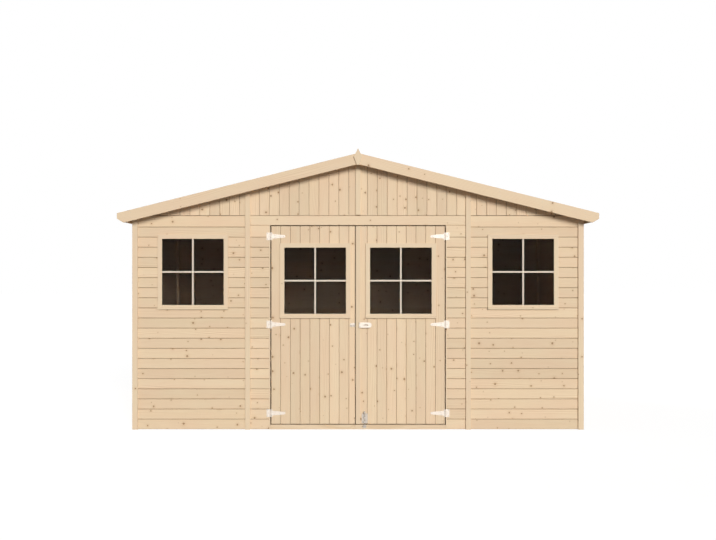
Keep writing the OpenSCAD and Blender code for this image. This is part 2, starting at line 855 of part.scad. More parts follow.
floor_bearers();
floor_boards();
door_sill();
front_wall_left();
front_wall_right();
front_strips();
front_header();
front_gable();
left_wall();
right_wall();
back_wall();
back_gable();
front_frame();
back_frame();
side_frames();
door_jambs();
corner_trims();
front_battens();
side_and_back_battens();
wall_window_frames();
wall_window_glass();
roof_purlins();
roof_deck_left();
roof_deck_right();
roof_felt();
bargeboards();
eave_boards();
finials();
hinge_plates();
bolt_keeper();
left_door_boards();
left_door_ledges();
left_door_window_frame();
left_door_glass();
left_door_hinge_straps();
hasp_staple();
right_door_boards();
right_door_ledges();
right_door_window_frame();
right_door_glass();
right_door_hinge_straps();
door_cover_strip();
hasp_leaf();
bolt_housing();
hasp_flap();
bolt_rod();
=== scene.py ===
import json
import math
import random

import bmesh
import bpy
from mathutils import Matrix, Vector


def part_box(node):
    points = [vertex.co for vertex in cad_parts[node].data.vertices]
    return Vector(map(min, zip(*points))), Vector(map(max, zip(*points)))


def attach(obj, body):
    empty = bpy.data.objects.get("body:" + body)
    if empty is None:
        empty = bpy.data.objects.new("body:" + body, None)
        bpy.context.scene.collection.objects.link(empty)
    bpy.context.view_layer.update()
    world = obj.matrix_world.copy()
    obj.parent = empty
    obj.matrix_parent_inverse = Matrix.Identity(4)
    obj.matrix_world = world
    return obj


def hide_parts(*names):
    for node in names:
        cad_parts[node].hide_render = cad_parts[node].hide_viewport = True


bl_info = {
    "name": "Garden Shed Finish",
    "version": (1, 0, 0),
    "blender": (4, 5, 0),
    "location": "View3D > Sidebar > Shed",
    "description": "Boards, grain, glazing bars, fixings, felt and stage for the garden shed",
    "category": "Object",
}

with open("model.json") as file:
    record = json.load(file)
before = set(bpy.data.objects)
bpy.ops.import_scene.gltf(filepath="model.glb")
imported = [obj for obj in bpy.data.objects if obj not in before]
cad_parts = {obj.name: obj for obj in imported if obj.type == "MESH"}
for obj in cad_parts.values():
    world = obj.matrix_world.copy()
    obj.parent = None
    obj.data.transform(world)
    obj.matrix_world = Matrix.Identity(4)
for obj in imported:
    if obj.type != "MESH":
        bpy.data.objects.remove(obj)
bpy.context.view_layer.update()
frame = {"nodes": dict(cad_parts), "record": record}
NODES = frame["nodes"]
BODY_OF = {node: body for body, nodes in frame["record"]["behaviour"]["bodies"].items() for node in nodes}

X, Y, Z = Vector((1, 0, 0)), Vector((0, 1, 0)), Vector((0, 0, 1))


# ---- settings ----

def metres(name, description, default, low=0.0, high=0.2):
    return bpy.props.FloatProperty(name=name, description=description, default=default, min=low, max=high,
                                   unit="LENGTH")


def swatch(name, description, default):
    return bpy.props.FloatVectorProperty(name=name, description=description, default=default, min=0, max=1,
                                         size=3, subtype="COLOR")


def number(name, description, default, low, high):
    return bpy.props.FloatProperty(name=name, description=description, default=default, min=low, max=high)


class ShedBoardSettings(bpy.types.PropertyGroup):
    """Sizes of the boards that clad the walls, the gables and the door leaves."""
    wall_pitch: metres("Wall Board Cover", "Height that one wall board shows", 0.08883, 0.05)
    wall_first: metres("First Wall Joint", "Height of the lowest joint in the walls", 0.089, 0.02)
    gable_pitch: metres("Gable Board Cover", "Width that one gable board shows", 0.0872, 0.05)
    gable_first: metres("First Gable Joint", "Distance from the ridge line to the first gable joint", 0.082)
    leaf_pitch: metres("Door Board Cover", "Width that one door board shows", 0.0856, 0.05)
    leaf_first: metres("First Door Joint", "Distance from the middle of the doors to the first joint", 0.0807)
    groove: metres("Groove", "Width of the chamfer on each side of a wall joint", 0.0042, high=0.01)
    fine_groove: metres("Fine Groove", "Width of the chamfer on each side of an upright joint", 0.0032,
                        high=0.01)
    slot: metres("Joint Gap", "Open width at the foot of a groove", 0.0028, high=0.005)
    floor_pitch: metres("Floor Board Width", "Width of one floor board", 0.096, 0.05)
    deck_pitch: metres("Roof Board Width", "Width of one roof board", 0.0936, 0.05)
    bar: metres("Bar Width", "Width of a glazing bar", 0.015, 0.005, 0.04)
    roof_pitch: bpy.props.FloatProperty(
        name="Roof Pitch", description="Slope of both sides of the roof",
        default=math.radians(14), min=0.1, max=0.8, unit="ROTATION")


class ShedColourSettings(bpy.types.PropertyGroup):
    """Colours of the finishes."""
    cladding: swatch("Cladding", "Light wood of the cladding boards", (0.815, 0.640, 0.452))
    trim: swatch("Trim", "Light wood of battens, corner trims and frames", (0.792, 0.632, 0.452))
    frame_wood: swatch("Framing", "Light wood of studs, purlins and floor", (0.760, 0.570, 0.370))
    bars: swatch("Glazing Bars", "Light wood of the glazing bars", (0.74, 0.66, 0.56))
    late: swatch("Summer Wood", "Darker wood of the growth rings", (0.600, 0.400, 0.228))
    knot: swatch("Knots", "Colour of the knots", (0.250, 0.130, 0.058))
    felt: swatch("Roof Felt", "Mineral facing of the roof felt", (0.070, 0.074, 0.072))
    zinc: swatch("Zinc", "Bright zinc of hinges, hasp and bolt", (0.560, 0.495, 0.425))


class ShedStageSettings(bpy.types.PropertyGroup):
    """Camera and light."""
    camera_distance: metres("Camera Distance", "Distance of the camera from the middle of the shed", 10.30,
                            1, 40)
    camera_height: metres("Camera Height", "Height of the camera over the floor", 1.356, 0, 10)
    lens: number("Lens", "Focal length of the camera in millimetres", 50.43, 10, 200)
    rise: number("Rise", "Shift of the camera's picture", 0.007, -0.1, 0.1)
    key: number("Key", "Strength of the key light", 2.62, 0, 10)
    sky: number("Sky", "Strength of the even light from all round", 0.22, 0, 5)
    fill: number("Fill", "Strength of the weak light from behind", 1.3, 0, 5)


# ---- boards ----

PAINTED_SHADE_DEPTH = 0.0065     # painted shade in a cladding joint starts this far below the face
JOINT_PAINTED_SHADE = 5.0        # how far the painted shade lowers the tone there, in tone ranges
SLIVER = 0.018           # no board is narrower than this
FINE_SLOT = 0.8          # open width of an upright joint, as a share of a level one's
HALF_SEAM = 0.00025      # two halves of a gable stand this far from its middle
GRAIN_SPREAD = (60, 20, 20)    # the stretches of timber are picked from this many metres


def placed(name, data):
    """A new object at the origin for a mesh, a light or a camera."""
    thing = bpy.data.objects.new(name, data)
    bpy.context.scene.collection.objects.link(thing)
    return thing


def fresh_timber(pick):
    """A new stretch of timber: where its grain starts, and its tone."""
    start = Vector([pick.uniform(0, reach) for reach in GRAIN_SPREAD])
    return start, pick.random()


class BoardStack:
    """Collects the boards of one piece. Each board keeps the lie of its grain and its own tone.
    What lies deeper than joint, short of the boards' backs, gets a lower tone: painted shade in the foot of a
    joint."""

    def __init__(self, seed, joint=math.inf):
        self.pick, self.joint = random.Random(seed), joint
        self.verts, self.faces, self.grain, self.tone = [], [], [], []

    def fresh(self):
        return fresh_timber(self.pick)

    def add(self, corner, along, out, section, low, high, timber=None):
        """One board. section goes anticlockwise round (across, out). low and high are its two ends,
        as distances along it at the first and at the last edge of the section's width."""
        side = out.cross(along)
        start, tone = timber or self.fresh()
        across = [p[0] for p in section]
        w0, w1 = min(across), max(across)
        first, back = len(self.verts), min(p[1] for p in section)
        for ends in (low, high):
            for w, n in section:
                a = ends[0] + (ends[1] - ends[0]) * (w - w0) / (w1 - w0)
                self.verts.append(corner + along * a + side * w + out * n)
                self.grain.append(start + Vector((a, w - w0, n)))
                # painted shade: the tone drops in the foot of each joint, where shade falls
                self.tone.append(tone - JOINT_PAINTED_SHADE if back < n < -self.joint else tone)
        count = len(section)
        self.faces.append([first + i for i in reversed(range(count))])
        self.faces.append([first + count + i for i in range(count)])
        for i in range(count):
            j = (i + 1) % count
            self.faces.append([first + i, first + j, first + count + j, first + count + i])

    def finish(self, name, material, body, slot, *nodes):
        """Makes the piece, which rides on a body and stands for its CAD nodes."""
        mesh = bpy.data.meshes.new(name)
        mesh.from_pydata([tuple(v) for v in self.verts], [], self.faces)
        grain = mesh.attributes.new("grain", "FLOAT_VECTOR", "POINT")
        grain.data.foreach_set("vector", [c for g in self.grain for c in g])
        tone = mesh.attributes.new("tone", "FLOAT", "POINT")
        tone.data.foreach_set("value", self.tone)
        mesh.materials.append(material)
        mesh.update()
        settle(placed(name, mesh), body, slot, *nodes)


def clad_section(w0, w1, thick, groove, slot):
    """A cladding board with a chamfer and a narrow open joint on both long edges."""
    g, chamfer = slot / 2, groove * 0.9
    deep = max(min(groove * 2.6, thick * 0.7), thick * 0.45)
    return [(w0, -thick), (w1, -thick), (w1, -deep), (w1 - g, -deep), (w1 - g, -chamfer),
            (w1 - g - groove, 0), (w0 + g + groove, 0), (w0 + g, -chamfer), (w0 + g, -deep), (w0, -deep)]


def eased_section(w0, w1, n0, n1, ease=0.0015):
    """A plain board with eased corners."""
    return [(w0 + ease, n0), (w1 - ease, n0), (w1, n0 + ease), (w1, n1 - ease),
            (w1 - ease, n1), (w0 + ease, n1), (w0, n1 - ease), (w0, n0 + ease)]


def joint_lines(start, end, first, pitch):
    """Edges of the boards between two edges of a panel."""
    lines, at = [start], first
    while at < start + SLIVER:
        at += pitch
    while at < end - SLIVER:
        lines.append(at)
        at += pitch
    return lines + [end]


def settle(piece, body, slot, *nodes):
    """The piece rides on a body and stands for its CAD nodes."""
    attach(piece, body)
    if nodes:
        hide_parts(*nodes)


def boards(stack, corner, along, out, lines, foot, head, thick, groove, slot, hole=None, rise=0):
    """Boards between the given lines across a panel, from foot to where head says for a line.
    hole is an opening's start and end across the panel, and then its start and end along it.
    The last board's back stands rise higher than its face."""
    for w0, w1 in zip(lines, lines[1:]):
        timber = stack.fresh()
        section = clad_section(w0, w1, thick, groove, slot)
        if w1 == lines[-1]:
            section[1] = (w1 + rise, -thick)
        low, high = (foot, foot), (head(w0), head(w1))
        if not hole or w1 <= hole[0] or w0 >= hole[1]:
            stack.add(corner, along, out, section, low, high, timber)
            continue
        before, after = (hole[2], hole[2]), (hole[3], hole[3])
        stack.add(corner, along, out, section, low, before, timber)
        stack.add(corner, along, out, section, after, high, timber)
        if w0 < hole[0]:
            part = [(min(w, hole[0]), n) for w, n in section]
            stack.add(corner, along, out, part, before, after, timber)
        if w1 > hole[1]:
            part = [(max(w, hole[1]), n) for w, n in section]
            stack.add(corner, along, out, part, before, after, timber)


def panel_lie(low, high, out):
    """For level boards on a panel that faces out: their start, their direction, length and thickness."""
    along = Z.cross(out)
    corner = Vector([(high if (out - along)[i] > 0 else low)[i] for i in (0, 1)] + [0])
    run = 0 if along.x else 1
    return corner, along, high[run] - low[run], high[1 - run] - low[1 - run]


# ---- timbers taken from the CAD nodes ----

MERGE = 0.00002          # points of a CAD mesh that are this near are one


def merged(node):
    """A copy of a CAD node's mesh, with its loose triangles joined."""
    mesh = bmesh.new()
    mesh.from_mesh(NODES[node].data)
    bmesh.ops.remove_doubles(mesh, verts=mesh.verts, dist=MERGE)
    return mesh


def islands(mesh):
    """Groups of faces that hang together."""
    left, groups = set(mesh.faces), []
    for face in mesh.faces:
        if face not in left:
            continue
        left.discard(face)
        group, todo = [], [face]
        while todo:
            f = todo.pop()
            group.append(f)
            for edge in f.edges:
                for other in edge.link_faces:
                    if other in left:
                        left.discard(other)
                        todo.append(other)
        groups.append(group)
    return groups


def solid_boxes(node):
    """The (lowest corner, highest corner) of each solid of a node."""
    mesh = merged(node)
    boxes = []
    for group in islands(mesh):
        points = [v.co for f in group for v in f.verts]
        boxes.append(tuple(Vector([pick(p[i] for p in points) for i in range(3)]) for pick in (min, max)))
    mesh.free()
    return boxes


def timber_copy(name, node, material, slot, seed, ease=0.0012, lie=None):
    """A node's own timbers with eased edges. The grain of each runs along its longest edge, or along lie."""
    mesh = merged(node)
    bmesh.ops.dissolve_limit(mesh, angle_limit=math.radians(0.6), verts=mesh.verts, edges=mesh.edges)
    sharp = [e for e in mesh.edges if len(e.link_faces) == 2 and e.is_convex
             and e.calc_face_angle(0) > math.radians(30) and e.calc_length() > ease * 4]
    bmesh.ops.bevel(mesh, geom=sharp, offset=ease, offset_type="OFFSET", segments=1, profile=0.5,
                    affect="EDGES", clamp_overlap=True)
    grain = mesh.verts.layers.float_vector.new("grain")
    tone = mesh.verts.layers.float.new("tone")
    pick = random.Random(seed)
    for group in islands(mesh):
        edges = {e for f in group for e in f.edges}
        longest = max(edges, key=lambda e: (round(e.calc_length(), 5), e.index))
        along = lie or (longest.verts[1].co - longest.verts[0].co).normalized()
        face = max(group, key=lambda f: (round(f.calc_area(), 7) if abs(f.normal.dot(along)) < 0.5 else 0))
        out = (face.normal - along * face.normal.dot(along)).normalized()
        side = out.cross(along)
        verts = {v for f in group for v in f.verts}
        middle = sum((v.co for v in verts), Vector()) / len(verts)
        start, shade = fresh_timber(pick)
        for v in verts:
            p = v.co - middle
            v[grain] = start + Vector((p.dot(along), p.dot(side), p.dot(out)))
            v[tone] = shade
    data = bpy.data.meshes.new(name)
    mesh.to_mesh(data)
    mesh.free()
    data.materials.append(material)
    settle(placed(name, data), BODY_OF[node], slot, node)


# ---- node trees ----

class Graph:
    """Adds nodes to a tree. A value is a number, a tuple or another node's socket."""

    def __init__(self, tree):
        self.tree = tree
        tree.nodes.clear()

    def feed(self, socket, value):
        if isinstance(value, bpy.types.NodeSocket):
            self.tree.links.new(value, socket)
        else:
            socket.default_value = value

    def add(self, kind, settings=None, **values):
        node = self.tree.nodes.new(kind)
        for key, value in (settings or {}).items():
            setattr(node, key, value)
        for key, value in values.items():
            name = key.replace("_", " ")
            self.feed(next(s for s in node.inputs if s.enabled and s.name == name), value)
        return node

    def out(self, node):
        return next(s for s in node.outputs if s.enabled)

    def times(self, a, b):
        return self.math("MULTIPLY", a, b)

    def plus(self, a, b, clamp=False):
        return self.math("ADD", a, b, clamp=clamp)

    def operate(self, kind, values, **settings):
        """A node whose first inputs take the values in turn."""
        node = self.add(kind, settings)
        for socket, value in zip(node.inputs, values):
            self.feed(socket, value)
        return self.out(node)

    def minus(self, a, b):
        return self.math("SUBTRACT", a, b)

    def math(self, operation, *values, clamp=False):
        return self.operate("ShaderNodeMath", values, operation=operation, use_clamp=clamp)

    def vector(self, operation, *values):
        return self.operate("ShaderNodeVectorMath", values, operation=operation)

    def remap(self, *values, smooth=False):
        """A value from one range to another: (value, from low, from high, to low, to high)."""
        return self.operate("ShaderNodeMapRange", values,
                            interpolation_type="SMOOTHSTEP" if smooth else "LINEAR")

    def mix(self, factor, a, b, blend="MIX"):
        return self.out(self.add("ShaderNodeMix", {"data_type": "RGBA", "blend_type": blend,
                                                   "clamp_factor": True}, Factor=factor, A=a, B=b))

    def noise(self, vector, per_metre, detail=2.0, rough=0.5):
        """Noise with so many waves a metre along each axis."""
        node = self.add("ShaderNodeTexNoise", Vector=self.vector("MULTIPLY", vector, per_metre), Scale=1.0,
                        Detail=detail, Roughness=rough)
        return node.outputs[0]

    def cells(self, vector, scale, **settings):
        """A cell pattern, and its colours as three separate random numbers."""
        node = self.add("ShaderNodeTexVoronoi", {"feature": "F1", **settings}, Vector=vector, Scale=scale)
        return node, self.add("ShaderNodeSeparateColor", Color=node.outputs["Color"]).outputs

    def place(self):
        return self.add("ShaderNodeTexCoord").outputs["Object"]

    def attribute(self, name):
        return self.add("ShaderNodeAttribute", {"attribute_type": "GEOMETRY", "attribute_name": name}).outputs

    def surface(self, bump=None, **values):
        """The shader of a material. bump is its (height, strength, distance)."""
        if bump:
            values["Normal"] = self.out(self.add("ShaderNodeBump", Height=bump[0], Strength=bump[1],
                                                 Distance=bump[2]))
        shader = self.add("ShaderNodeBsdfPrincipled", **values)
        self.add("ShaderNodeOutputMaterial", Surface=shader.outputs[0])

    def geo(self, kind, settings=None, **values):
        return self.out(self.add("GeometryNode" + kind, settings, **values))

    def lot(self, seed, high=1.0):
        """A random number for each item, or a random vector up to high."""
        kind = "FLOAT" if high == 1.0 else "FLOAT_VECTOR"
        return self.out(self.add("FunctionNodeRandomValue", {"data_type": kind}, Max=high, Seed=seed))

    def xyz(self, **parts):
        return self.add("ShaderNodeCombineXYZ", **parts).outputs[0]

    def join(self, *parts):
        """The parts as one geometry."""
        node = self.add("GeometryNodeJoinGeometry")
        for part in parts:
            self.tree.links.new(part, node.inputs[0])
        return node.outputs[0]

    def store(self, geometry, name, value, kind="FLOAT", domain="POINT"):
        return self.geo("StoreNamedAttribute", {"data_type": kind, "domain": domain},
                        Geometry=geometry, Name=name, Value=value)

    def stored(self, name, kind="FLOAT"):
        return self.geo("InputNamedAttribute", {"data_type": kind}, Name=name)


def made_once(store):
    """The function below makes a data block of a name only if there is none yet."""
    def wrap(make):
        return lambda name, *values: getattr(bpy.data, store).get(name) or make(name, *values)
    return wrap


def node_group(name, kind, inputs, outputs):
    """A node group's tree and graph, what it is given and what it gives. Its sockets are named in
    inputs and outputs, with the kind of each."""
    tree = bpy.data.node_groups.new(name, kind + "NodeTree")
    for way, sockets in (("INPUT", inputs), ("OUTPUT", outputs)):
        for label, socket in sockets.items():
            tree.interface.new_socket(name=label, in_out=way, socket_type="NodeSocket" + socket)
    g = Graph(tree)
    return tree, g, g.add("NodeGroupInput").outputs, g.add("NodeGroupOutput").inputs


KNOT_CELL = (0.16, 0.075, 1.0)      # one knot at most in a stretch of this length and width
KNOT_SIZE = (0.0022, 0.0092)        # radius of the smallest and the largest knot
RINGS_PER_METRE = 105.0


@made_once("node_groups")
def softwood_group(name):
    """Planed spruce: growth rings that part round the knots, fibres, knots and a tone for each board."""
    tree, g, given, result = node_group(
        name, "Shader",
        {"Grain": "Vector", "Tone": "Float", "Light Wood": "Color", "Summer Wood": "Color",
         "Knot": "Color", "Figure": "Float", "Knots": "Float", "Tone Range": "Float"},
        {"Color": "Color", "Roughness": "Float", "Height": "Float"})
    grain, figure = given["Grain"], given["Figure"]
    # a knot in some of the cells: away is the distance from it, and ratio the same in knot radii
    spread = g.vector("MULTIPLY", grain, (1 / KNOT_CELL[0], 1 / KNOT_CELL[1], 0))
    cells, lot = g.cells(spread, 1.0, voronoi_dimensions="2D")
    cells.inputs["Randomness"].default_value = 0.95
    away = g.vector("MULTIPLY", g.vector("SUBTRACT", spread, cells.outputs["Position"]), KNOT_CELL)
    there = g.math("LESS_THAN", lot[0], given["Knots"])
    size = g.times(g.remap(g.math("POWER", lot[1], 1.6), 0, 1, *KNOT_SIZE), there)
    wobble = g.noise(grain, (260, 260, 260), 1.0)
    reach = g.plus(g.vector("LENGTH", away), g.times(wobble, 0.0011))
    ratio = g.math("DIVIDE", reach, g.math("MAXIMUM", size, 0.00002))
    near = g.math("EXPONENT", g.times(g.math("POWER", g.math("DIVIDE", ratio, 2.3), 2.0), -1.0))
    knot = g.remap(ratio, 0.78, 1.18, 1.0, 0.0, smooth=True)
    # the grain's lanes bend round a knot
    part = g.add("ShaderNodeSeparateXYZ", Vector=grain).outputs
    gap = g.add("ShaderNodeSeparateXYZ", Vector=away).outputs
    bent = g.minus(part[1], g.times(g.times(gap[1], near), 0.8))
    lane = g.xyz(X=part[0], Y=bent, Z=part[2])
    sweep = g.noise(lane, (0.8, 7, 7), 1.0)
    phase = g.plus(g.times(bent, RINGS_PER_METRE), g.times(sweep, 11.0))
    rings = g.math("POWER", g.remap(g.math("SINE", g.times(phase, 6.2832)), -1, 1, 0, 1), 2.2)
    fibre = g.noise(lane, (7, 520, 520), 2.0, rough=0.6)
    drift = g.noise(lane, (1.3, 17, 17), 2.0)
    blush = g.noise(lane, (2.0, 5, 5), 1.0)
    # colour: dark rings and fibres, a warmer or cooler drift, the board's tone, and the knot
    dark = g.times(g.times(rings, g.remap(drift, 0.3, 0.7, 0.12, 0.55)), figure)
    dark = g.plus(dark, g.times(g.minus(fibre, 0.42), g.times(figure, 0.55)))
    dark = g.plus(dark, g.times(near, 0.42), clamp=True)
    colour = g.mix(dark, given["Light Wood"], given["Summer Wood"])
    warm = g.mix(g.remap(blush, 0.35, 0.65, 0, 1), (1.0, 0.975, 0.955, 1), (1.0, 1.012, 0.985, 1))
    colour = g.mix(1.0, colour, warm, "MULTIPLY")
    level = g.plus(1.0, g.times(g.minus(given["Tone"], 0.5), given["Tone Range"]))
    level = g.plus(level, g.times(g.minus(drift, 0.5), 0.10))
    grey = g.add("ShaderNodeCombineColor", Red=level, Green=level, Blue=level).outputs[0]
    colour = g.mix(1.0, colour, grey, "MULTIPLY")
    colour = g.mix(g.times(knot, 0.82), colour, given["Knot"])
    heart = g.mix(g.times(g.remap(ratio, 0.0, 0.75, 1.0, 0.0), 0.25), colour, given["Summer Wood"])
    g.feed(result["Color"], g.mix(there, colour, heart))
    g.feed(result["Roughness"], g.minus(g.remap(fibre, 0, 1, 0.58, 0.74), g.times(knot, 0.12)))
    height = g.plus(g.times(rings, 0.35), g.times(fibre, 0.65))
    g.feed(result["Height"], g.minus(height, g.times(knot, 0.3)))
    return tree


def new_material(name):
    material = bpy.data.materials.new(name)
    material.use_nodes = True
    return material, Graph(material.node_tree)


def rgba(colour, level=1.0):
    return tuple(min(1.0, c * level) for c in colour) + (1.0,)


# each wood as (setting of its light colour, level of that colour, figure, knots, tone range)
WOODS = {
    "Cladding Wood": ("cladding", 1.0, 1.15, 0.60, 0.12),
    "Trim Wood": ("trim", 1.0, 0.8, 0.22, 0.05),
    "Framing Wood": ("frame_wood", 1.0, 1.1, 0.35, 0.14),
    "Header Wood": ("cladding", 1.05, 0.9, 0.5, 0.04),
    "Roof Edge Wood": ("cladding", 1.0, 0.9, 0.35, 0.04),
    "Sill Wood": ("cladding", 0.95, 1.1, 0.3, 0.05),
    "Finial Wood": ("trim", 1.03, 0.6, 0.0, 0.03),
    "Window Wood": ("trim", 1.0, 0.6, 0.12, 0.04),
    "Glazing Bar Wood": ("bars", 1.0, 0.4, 0.0, 0.04),
}


@made_once("materials")
def wood(name):
    """A softwood finish. The grain and the tone come from the boards' own attributes."""
    light, level, figure, knots, spread = WOODS[name]
    colours = bpy.context.scene.shed_colours
    material, g = new_material(name)
    made = g.add("ShaderNodeGroup", {"node_tree": softwood_group("Planed Softwood")},
                 Grain=g.attribute("grain")["Vector"], Tone=g.attribute("tone")["Fac"],
                 Light_Wood=rgba(getattr(colours, light), level), Summer_Wood=rgba(colours.late),
                 Knot=rgba(colours.knot), Figure=figure, Knots=knots, Tone_Range=spread).outputs
    g.surface((made["Height"], 0.25, 0.0004), Base_Color=made["Color"], Roughness=made["Roughness"],
              Specular_IOR_Level=0.25)
    return material


@made_once("materials")
def zinc(name, level):
    """Zinc with a faint crystal pattern and dull patches."""
    material, g = new_material(name)
    place = g.place()
    lot = g.cells(place, 260.0)[1][0]
    cloud = g.noise(place, (38, 38, 38), 3.0)
    tint = bpy.context.scene.shed_colours.zinc
    colour = g.mix(g.times(lot, 0.5), rgba(tint, level), rgba(tint, 0.90 * level))
    colour = g.mix(g.remap(cloud, 0.45, 0.75, 0.0, 0.4), colour, rgba((0.72, 0.69, 0.66), level))
    g.surface((cloud, 0.1, 0.0003), Base_Color=colour, Metallic=0.85,
              Roughness=g.plus(g.remap(cloud, 0.3, 0.7, 0.48, 0.64), g.times(lot, 0.05)))
    return material


@made_once("materials")
def clouded(name, per_metre, dark, light, metallic, rough):
    """A finish that drifts between two colours."""
    material, g = new_material(name)
    cloud = g.noise(g.place(), (per_metre,) * 3, 2.0)
    g.surface(Base_Color=g.mix(cloud, rgba(dark), rgba(light)), Metallic=metallic, Roughness=rough)
    return material


@made_once("materials")
def glazing(name):
    """Glass with a grey tint, painted shade that darkens the view of the interior, and a little smeared."""
    material, g = new_material(name)
    smear = g.noise(g.place(), (3, 3, 9), 3.0)
    # the grey level is painted shade of the dark interior; the smear between the two greys is real dirt
    g.surface(Base_Color=g.mix(smear, (0.66, 0.68, 0.69, 1), (0.78, 0.79, 0.79, 1)), Metallic=0.0,
              Roughness=g.remap(smear, 0.4, 0.8, 0.0, 0.06), Transmission_Weight=1.0, IOR=1.14,
              Specular_IOR_Level=0.15)
    return material


@made_once("materials")
def felt_finish(name):
    """Mineral roof felt: fine granules, dull patches, and a tone for each sheet."""
    material, g = new_material(name)
    place = g.place()
    grit, lot = g.cells(place, 650.0)
    patch = g.noise(place, (2.2, 2.2, 2.2), 4.0)
    base = bpy.context.scene.shed_colours.felt
    colour = g.mix(lot[1], rgba(base, 0.62), rgba(base, 1.75))
    colour = g.mix(g.remap(patch, 0.42, 0.7, 0.0, 0.45), colour, rgba(base, 0.5))
    colour = g.mix(g.times(g.attribute("tone")["Fac"], 0.35), colour, rgba(base, 1.9))
    g.surface((grit.outputs["Distance"], 0.5, 0.0008), Base_Color=colour, Roughness=0.92,
              Specular_IOR_Level=0.2)
    return material


@made_once("node_groups")
def board_row_tree(name):
    """Extrudes the end of a board along X, and repeats the board across Y with its own grain and tone."""
    tree, g, given, result = node_group(
        name, "Geometry",
        {"Geometry": "Geometry", "Length": "Float", "Count": "Int", "Pitch": "Float", "Place": "Vector",
         "Turn": "Vector", "Seed": "Int", "Material": "Material"}, {"Geometry": "Geometry"})
    drawn = g.geo("ExtrudeMesh", {"mode": "FACES"}, Mesh=given["Geometry"],
                  Offset=g.xyz(X=given["Length"]), Offset_Scale=1.0, Individual=False)
    closed = g.join(drawn, g.geo("FlipFaces", Mesh=given["Geometry"]))
    board = g.geo("MergeByDistance", Geometry=closed, Distance=0.00001)
    board = g.store(board, "grain", g.geo("InputPosition"), "FLOAT_VECTOR")
    row = g.geo("MeshLine", {"mode": "OFFSET"}, Count=given["Count"], Offset=g.xyz(Y=given["Pitch"]))
    copies = g.geo("InstanceOnPoints", Points=row, Instance=board)
    copies = g.store(copies, "start", g.lot(given["Seed"], GRAIN_SPREAD), "FLOAT_VECTOR", "INSTANCE")
    copies = g.store(copies, "tone", g.lot(given["Seed"]), "FLOAT", "INSTANCE")
    solid = g.geo("RealizeInstances", Geometry=copies)
    grain = g.vector("ADD", g.stored("grain", "FLOAT_VECTOR"), g.stored("start", "FLOAT_VECTOR"))
    solid = g.store(solid, "grain", grain, "FLOAT_VECTOR")
    solid = g.geo("Transform", Geometry=solid, Translation=given["Place"], Rotation=given["Turn"])
    g.feed(result[0], g.geo("SetMaterial", Geometry=solid, Material=given["Material"]))
    return tree


@made_once("node_groups")
def fixing_tree(name):
    """A round head on each point, facing along the point's own direction, with a flat cross on top in a dark
    material, painted shade of a cross recess.
    """
    tree, g, given, result = node_group(
        name, "Geometry",
        {"Geometry": "Geometry", "Head Radius": "Float", "Head Height": "Float", "Recess": "Float",
         "Seed": "Int", "Material": "Material", "Recess Material": "Material"}, {"Geometry": "Geometry"})
    crown = g.times(given["Head Radius"], 0.62)
    head = g.geo("MeshCone", {"fill_type": "NGON"}, Vertices=10, Radius_Top=crown,
                 Radius_Bottom=given["Head Radius"], Depth=given["Head Height"])
    reach = g.times(crown, given["Recess"])
    narrow = g.times(reach, 0.22)
    # the cross is a thin flat sheet on the head, not a hollow; its dark material is painted shade
    arms = [g.geo("MeshCube", Size=g.xyz(X=x, Y=y, Z=0.0004))
            for x, y in ((reach, narrow), (narrow, reach))]
    cross = g.geo("Transform", Geometry=g.join(*arms), Translation=g.xyz(Z=given["Head Height"]))
    whole = g.join(head, g.store(cross, "recess", 1.0, domain="FACE"))
    turned = g.add("FunctionNodeAlignRotationToVector", {"axis": "Z"},
                   Vector=g.stored("facing", "FLOAT_VECTOR")).outputs[0]
    copies = g.geo("InstanceOnPoints", Points=given["Geometry"], Instance=whole, Rotation=turned)
    copies = g.geo("RotateInstances", Instances=copies, Rotation=g.xyz(Z=g.times(g.lot(given["Seed"]), 3.14)),
                   Local_Space=True)
    solid = g.geo("RealizeInstances", Geometry=copies)
    solid = g.geo("SetMaterial", Geometry=solid, Material=given["Material"])
    chosen = g.add("FunctionNodeCompare", {"data_type": "FLOAT", "operation": "GREATER_THAN"},
                   A=g.stored("recess"), B=0.5).outputs[0]
    g.feed(result[0], g.geo("SetMaterial", Geometry=solid, Selection=chosen,
                            Material=given["Recess Material"]))
    return tree


def grown(name, mesh, tree, values):
    """The plain mesh that a geometry node tree makes from a starting mesh."""
    seed = placed(name + "_start", mesh)
    modifier = seed.modifiers.new(tree.name, "NODES")
    modifier.node_group = tree
    keys = {s.name: s.identifier for s in tree.interface.items_tree
            if s.item_type == "SOCKET" and s.in_out == "INPUT"}
    for label, value in values.items():
        modifier[keys[label]] = value
    seed.update_tag()
    view = bpy.context.evaluated_depsgraph_get()
    view.update()
    plain = bpy.data.meshes.new_from_object(seed.evaluated_get(view), preserve_all_data_layers=True,
                                            depsgraph=view)
    plain.name = name
    seed.modifiers.clear()
    bpy.data.objects.remove(seed)
    bpy.data.meshes.remove(mesh)
    if not plain.polygons:
        raise RuntimeError(f"{name} came out empty")
    return placed(name, plain)


def board_row(name, node, section, place, along, out, length, count, pitch, seed):
    """A row of equal boards that stands for a node of the root. section lies in (across, out), and the
    row runs across."""
    side = out.cross(along)
    mesh = bpy.data.meshes.new(name + "_end")
    mesh.from_pydata([(0, w, n) for w, n in section], [], [list(range(len(section)))])
    turn = Matrix((along, side, out)).transposed().to_euler("XYZ")
    piece = grown(name, mesh, board_row_tree("Board Row"), {
        "Length": float(length), "Count": int(count), "Pitch": float(pitch),
        "Place": tuple(place), "Turn": tuple(turn), "Seed": seed, "Material": wood("Framing Wood")})
    settle(piece, "root", "frame_wood", node)


